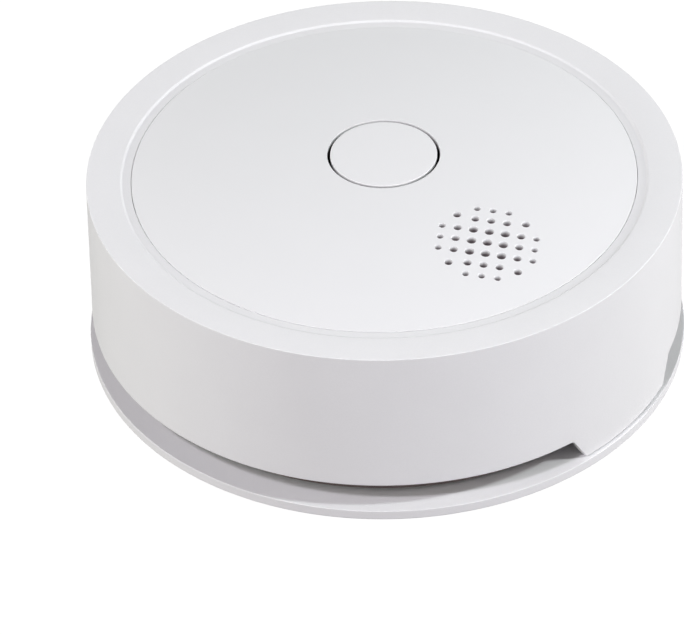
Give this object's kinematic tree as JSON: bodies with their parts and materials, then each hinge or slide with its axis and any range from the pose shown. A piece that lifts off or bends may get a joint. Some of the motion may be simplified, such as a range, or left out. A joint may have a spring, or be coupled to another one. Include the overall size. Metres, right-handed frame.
{
  "type": "smoke detector",
  "caption": "Round smoke detector with a domed face, centre test button, sounder grille and side smoke inlets, twisted onto a flat ceiling bracket.",
  "frame": {"origin": "centre of the mounting bracket's back face, the side that lies against the ceiling", "axes": "+Z out of the back through the domed face, +X and +Y along the rows of the sounder's hole pattern, which lies at azimuth -45 degrees"},
  "size_m": [0.12, 0.12, 0.0436],
  "materials": {
    "shell_white": "moulded white plastic with a fine spark-eroded texture",
    "face_white": "smooth matte white plastic",
    "button_white": "smooth matte white plastic",
    "bracket_white": "semi-matte white plastic",
    "inner_white": "matte natural white plastic",
    "screen_dark": "dark moulded mesh",
    "board_green": "solder-masked circuit board",
    "chamber_black": "light-absorbing matte black plastic",
    "chip_black": "moulded component body",
    "steel": "bright plated steel",
    "brass": "plain brass sheet",
    "piezo_ceramic": "fired ceramic, pale",
    "clear_plastic": "clear moulded plastic",
    "cell_sleeve": "shrink sleeve on a lithium cell"
  },
  "bodies": {
    "bracket": {"mounting_bracket": "bracket_white"},
    "alarm": {"rear_case": "inner_white", "front_cover": "shell_white", "face_disc": "face_white", "insect_screen": "screen_dark", "case_screw_1": "steel", "case_screw_2": "steel", "case_screw_3": "steel", "main_board": "board_green", "optical_chamber": "chamber_black", "chamber_lid": "chamber_black", "ir_emitter": "clear_plastic", "photodiode": "chip_black", "sounder_housing": "chamber_black", "piezo_plate": "brass", "piezo_ceramic": "piezo_ceramic", "tact_switch": "chip_black", "wifi_board": "board_green", "wifi_shield": "steel", "microcontroller": "chip_black", "power_chip": "chip_black", "amplifier_chip": "chip_black", "inductor": "chip_black", "capacitor": "steel", "status_led": "piezo_ceramic", "light_guide": "clear_plastic", "battery_cell": "cell_sleeve", "battery_contact_positive": "steel", "battery_contact_negative": "steel", "battery_spring": "steel", "door_hinge_pin": "steel"},
    "button": {"test_button": "button_white", "button_spring": "steel"},
    "plunger": {"switch_plunger": "inner_white"},
    "door": {"battery_door": "inner_white"}
  },
  "joints": [
    {"name": "alarm_twist", "type": "hinge", "parent": "bracket", "child": "alarm", "pos_m": [0, 0, 0], "axis": [0, 0, 1], "range_deg": [0, 16]},
    {"name": "button_press", "type": "slide", "parent": "alarm", "child": "button", "axis": [0, 0, -1], "range_m": [0, 0.0008], "stiffness_N_per_m": 2500, "deforming": ["button_spring"]},
    {"name": "plunger_press", "type": "slide", "parent": "alarm", "child": "plunger", "axis": [0, 0, -1], "range_m": [0, 0.0008]},
    {"name": "door_swing", "type": "hinge", "parent": "alarm", "child": "door", "pos_m": [-0.0215, 0.019, 0.0043], "axis": [1, 0, 0], "range_deg": [0, 95]}
  ],
  "couplings": [
    {"joint": "plunger_press", "follows": "button_press", "ratio": 1}
  ]
}
